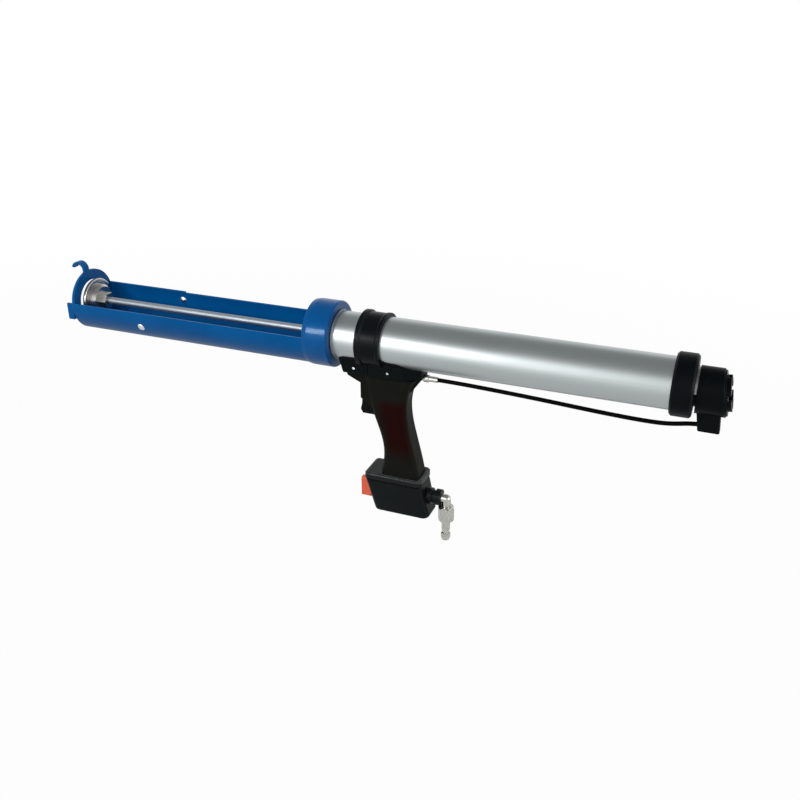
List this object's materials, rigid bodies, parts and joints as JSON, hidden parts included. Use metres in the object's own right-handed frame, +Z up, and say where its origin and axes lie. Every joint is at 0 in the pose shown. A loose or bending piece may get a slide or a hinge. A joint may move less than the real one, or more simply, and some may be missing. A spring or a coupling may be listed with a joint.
{
  "type": "pneumatic caulking tool",
  "caption": "Air-powered caulking tool: open blue cartridge cradle, aluminium cylinder with piston rod, black pistol grip with trigger, regulator knob and air plug.",
  "frame": {"origin": "centre of the nozzle ring at the front of the cradle, on the barrel axis", "axes": "+X along the barrel axis towards the rear, +Y to the tool's right side seen from behind, +Z up"},
  "size_m": [0.7448, 0.0722, 0.2754],
  "materials": {
    "blue_paint": "gloss",
    "zinc": "satin",
    "barrel": "satin",
    "steel": "satin",
    "nickel": "polished",
    "black_plastic": "satin",
    "rubber": "matte",
    "orange": "satin"
  },
  "bodies": {
    "tool": {"barrel_tube": "barrel", "nose_bush": "barrel", "rod_seal": "rubber", "collar_snap_ring": "black_plastic", "rear_cap": "black_plastic", "cap_seal": "rubber", "exhaust_spacer": "barrel", "exhaust_housing": "black_plastic", "hose_collet": "black_plastic", "exhaust_diaphragm": "rubber", "exhaust_cover": "black_plastic", "cover_screws": "black_plastic", "clamp_band": "black_plastic", "grip_left": "black_plastic", "grip_right": "black_plastic", "grip_screws": "zinc", "grip_nuts": "zinc", "trigger_pin": "zinc", "valve_body": "barrel", "valve_spring": "steel", "valve_plug": "barrel", "supply_tube": "black_plastic", "base_lid": "black_plastic", "base_gasket": "rubber", "base_housing": "black_plastic", "base_screws": "zinc", "regulator_diaphragm": "rubber", "regulator_spring": "steel", "inlet_bush": "black_plastic", "hose_fitting": "barrel", "air_hose": "rubber"},
    "cradle": {"front_ring": "blue_paint", "cradle_channel": "blue_paint", "cradle_collar": "blue_paint", "cradle_rivets": "zinc"},
    "ram": {"plunger_plate": "steel", "plunger_cup": "steel", "plunger_nut": "steel", "piston_rod": "steel", "piston": "barrel", "piston_seal": "rubber", "piston_nut": "zinc"},
    "trigger": {"trigger": "black_plastic"},
    "spool": {"valve_spool": "steel", "spool_seals": "rubber"},
    "knob": {"regulator_knob": "orange", "regulator_stem": "barrel"},
    "inlet": {"inlet_elbow": "nickel", "inlet_hex": "nickel", "inlet_plug": "nickel"}
  },
  "joints": [
    {"name": "ram_slide", "type": "slide", "parent": "tool", "child": "ram", "axis": [1, 0, 0], "range_m": [0, 0.274]},
    {"name": "cradle_turn", "type": "hinge", "parent": "tool", "child": "cradle", "pos_m": [0.3145, 0, 0], "axis": [1, 0, 0], "continuous": true},
    {"name": "trigger_pull", "type": "hinge", "parent": "tool", "child": "trigger", "pos_m": [0.361, 0, -0.056], "axis": [0, -1, 0], "range_deg": [0, 12]},
    {"name": "spool_slide", "type": "slide", "parent": "tool", "child": "spool", "axis": [1, 0, 0], "range_m": [0, 0.00325], "stiffness_N_per_m": 300, "springref_m": -0.005, "deforming": ["valve_spring"]},
    {"name": "regulator_turn", "type": "hinge", "parent": "tool", "child": "knob", "pos_m": [0.36, 0, -0.181], "axis": [1, 0, 0], "range_deg": [0, 270]},
    {"name": "inlet_swivel", "type": "hinge", "parent": "tool", "child": "inlet", "pos_m": [0.44, 0, -0.1775], "axis": [1, 0, 0], "continuous": true}
  ],
  "couplings": [
    {"joint": "trigger_pull", "follows": "spool_slide", "rad_per_m": 64.43}
  ]
}
